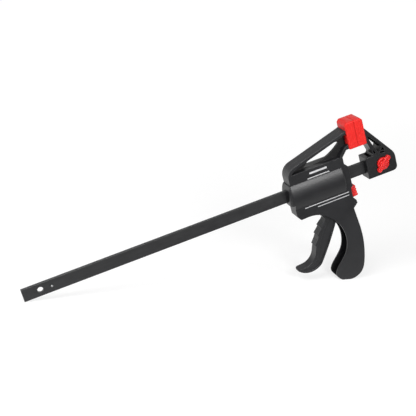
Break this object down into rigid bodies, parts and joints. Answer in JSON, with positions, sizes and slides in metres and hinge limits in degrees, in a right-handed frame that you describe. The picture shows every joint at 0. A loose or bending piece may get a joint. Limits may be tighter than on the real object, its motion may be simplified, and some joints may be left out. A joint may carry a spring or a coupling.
{
  "type": "quick release bar clamp",
  "caption": "One-handed bar clamp: trigger body sliding on a flat steel bar, with a release button, soft pads and a fixed jaw held by a turn knob.",
  "frame": {"origin": "on the bar's centre line, in the plane where the two pads meet when the clamp is closed", "axes": "+X along the bar towards the fixed jaw, +Z from the bar to the pads, +Y through the thickness, away from the side with the turn knob"},
  "size_m": [0.5385, 0.0336, 0.2262],
  "materials": {
    "body_plastic": "charcoal moulded glass filled nylon, fine spark texture",
    "jaw_plastic": "near black moulded glass filled nylon",
    "trigger_plastic": "charcoal moulded nylon, worn smooth where fingers pull",
    "soft_red": "soft red elastomer, satin",
    "hard_red": "red moulded plastic, low gloss",
    "bar_steel": "blackened flat steel, satin",
    "lever_steel": "hardened stamped steel",
    "spring_steel": "drawn spring wire",
    "bright_steel": "ground pin",
    "screw_steel": "zinc plated, dark"
  },
  "bodies": {
    "housing": {"near_shell": "body_plastic", "far_shell": "body_plastic", "shell_screws": "screw_steel", "trigger_pin": "bright_steel", "moving_pad": "soft_red", "drive_spring": "spring_steel", "brake_spring": "spring_steel"},
    "sliding_bar": {"bar": "bar_steel", "stop_pin": "bright_steel", "fixed_jaw": "jaw_plastic", "fixed_pad": "soft_red", "knob_retaining_ring": "jaw_plastic", "lock_spring": "spring_steel"},
    "trigger_body": {"trigger": "trigger_plastic"},
    "driving_levers": {"front_driving_lever": "lever_steel", "back_driving_lever": "lever_steel"},
    "brake": {"brake_lever": "lever_steel", "release_button": "hard_red", "button_rivet": "bright_steel"},
    "turn_knob": {"lock_knob": "hard_red"},
    "locking_pin": {"lock_pin": "bright_steel"}
  },
  "joints": [
    {"name": "bar_slide", "type": "slide", "parent": "housing", "child": "sliding_bar", "axis": [1, 0, 0], "range_m": [0, 0.3338]},
    {"name": "trigger_squeeze", "type": "hinge", "parent": "housing", "child": "trigger_body", "pos_m": [-0.066, 0, -0.03], "axis": [0, -1, 0], "range_deg": [0, 22], "stiffness_Nm_per_rad": 0.3, "springref_deg": -5.73},
    {"name": "lever_drive", "type": "slide", "parent": "housing", "child": "driving_levers", "axis": [-1, 0, 0], "range_m": [0, 0.0059], "deforming": ["drive_spring"]},
    {"name": "brake_release", "type": "hinge", "parent": "housing", "child": "brake", "pos_m": [-0.027, 0, 0.0115], "axis": [0, 1, 0], "range_deg": [0, 6], "stiffness_Nm_per_rad": 0.2, "springref_deg": -5.73, "deforming": ["brake_spring"]},
    {"name": "knob_turn", "type": "hinge", "parent": "sliding_bar", "child": "turn_knob", "pos_m": [0.031, 0, 0], "axis": [0, -1, 0], "range_deg": [0, 90]},
    {"name": "pin_retract", "type": "slide", "parent": "sliding_bar", "child": "locking_pin", "axis": [0, -1, 0], "range_m": [0, 0.0052], "deforming": ["lock_spring"]}
  ],
  "couplings": [
    {"joint": "lever_drive", "follows": "trigger_squeeze", "m_per_rad": 0.01512},
    {"joint": "knob_turn", "follows": "pin_retract", "rad_per_m": 302}
  ]
}
